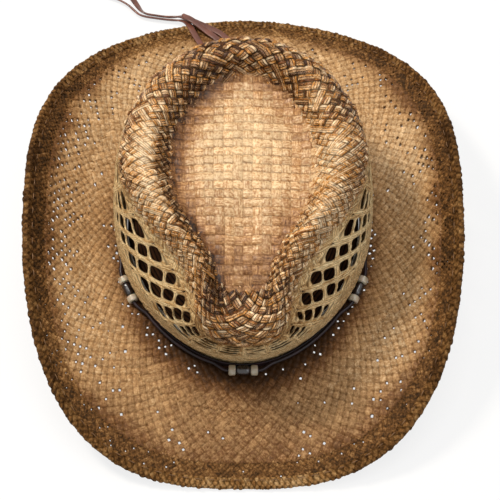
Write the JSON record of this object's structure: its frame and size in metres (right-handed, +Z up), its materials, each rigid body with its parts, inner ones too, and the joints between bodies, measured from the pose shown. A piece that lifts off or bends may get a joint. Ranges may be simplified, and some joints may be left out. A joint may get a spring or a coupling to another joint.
{
  "type": "western hat",
  "caption": "Woven straw western hat with a pinched, vented crown, a rolled brim with a dark edge, and a laced hatband strung with bone and dark barrel beads.",
  "frame": {"origin": "on the surface the hat stands on, under the middle of the brim", "axes": "+Z up through the crown, -Y to the front (the pinched end of the crown), +X to the right as seen from the front"},
  "size_m": [0.2894, 0.4138, 0.1249],
  "materials": {
    "crown_straw": "woven, lacquered",
    "brim_straw": "woven, lacquered",
    "hem_straw": "braided, toasted, lacquered",
    "wire": "drawn",
    "thread": "spun",
    "sweatband_knit": "ribbed elastic",
    "tape": "woven",
    "lace_leather": "smooth",
    "tail_leather": "smooth",
    "bone": "polished",
    "barrel": "polished"
  },
  "bodies": {
    "hat": {"crown": "crown_straw", "brim": "brim_straw", "brim_edge_hem": "hem_straw", "brim_edge_wire": "wire", "hem_stitching": "thread", "sweatband": "sweatband_knit", "sweatband_tape": "tape", "sweatband_stitching": "thread", "hatband_flat_lace": "lace_leather", "hatband_bead_lace": "lace_leather", "back_knot": "lace_leather", "lace_tail_long": "tail_leather", "lace_tail_middle": "tail_leather", "lace_tail_short": "tail_leather"},
    "bone_bead_front_left_body": {"bone_bead_front_left": "bone"},
    "barrel_bead_front_body": {"barrel_bead_front": "barrel"},
    "bone_bead_front_right_body": {"bone_bead_front_right": "bone"},
    "bone_bead_left_rear_body": {"bone_bead_left_rear": "bone"},
    "barrel_bead_left_body": {"barrel_bead_left": "barrel"},
    "bone_bead_left_fore_body": {"bone_bead_left_fore": "bone"},
    "bone_bead_right_fore_body": {"bone_bead_right_fore": "bone"},
    "barrel_bead_right_body": {"barrel_bead_right": "barrel"},
    "bone_bead_right_rear_body": {"bone_bead_right_rear": "bone"}
  },
  "joints": [
    {"name": "bone_bead_front_left_spin", "type": "hinge", "parent": "hat", "child": "bone_bead_front_left_body", "pos_m": [-0.0073, -0.11183, 0.02037], "axis": [1, 0, 0], "continuous": true},
    {"name": "barrel_bead_front_spin", "type": "hinge", "parent": "hat", "child": "barrel_bead_front_body", "pos_m": [0, -0.11183, 0.02037], "axis": [1, 0, 0], "continuous": true},
    {"name": "bone_bead_front_right_spin", "type": "hinge", "parent": "hat", "child": "bone_bead_front_right_body", "pos_m": [0.0073, -0.11183, 0.02037], "axis": [1, 0, 0], "continuous": true},
    {"name": "bone_bead_left_rear_spin", "type": "hinge", "parent": "hat", "child": "bone_bead_left_rear_body", "pos_m": [-0.07969, -0.05022, 0.02985], "axis": [0.4247, -0.9001, -0.0969], "continuous": true},
    {"name": "barrel_bead_left_spin", "type": "hinge", "parent": "hat", "child": "barrel_bead_left_body", "pos_m": [-0.07659, -0.05679, 0.02914], "axis": [0.4247, -0.9001, -0.0969], "continuous": true},
    {"name": "bone_bead_left_fore_spin", "type": "hinge", "parent": "hat", "child": "bone_bead_left_fore_body", "pos_m": [-0.07349, -0.06336, 0.02843], "axis": [0.4247, -0.9001, -0.0969], "continuous": true},
    {"name": "bone_bead_right_fore_spin", "type": "hinge", "parent": "hat", "child": "bone_bead_right_fore_body", "pos_m": [0.07349, -0.06336, 0.02843], "axis": [0.4247, 0.9001, 0.0969], "continuous": true},
    {"name": "barrel_bead_right_spin", "type": "hinge", "parent": "hat", "child": "barrel_bead_right_body", "pos_m": [0.07659, -0.05679, 0.02914], "axis": [0.4247, 0.9001, 0.0969], "continuous": true},
    {"name": "bone_bead_right_rear_spin", "type": "hinge", "parent": "hat", "child": "bone_bead_right_rear_body", "pos_m": [0.07969, -0.05022, 0.02985], "axis": [0.4247, 0.9001, 0.0969], "continuous": true}
  ]
}
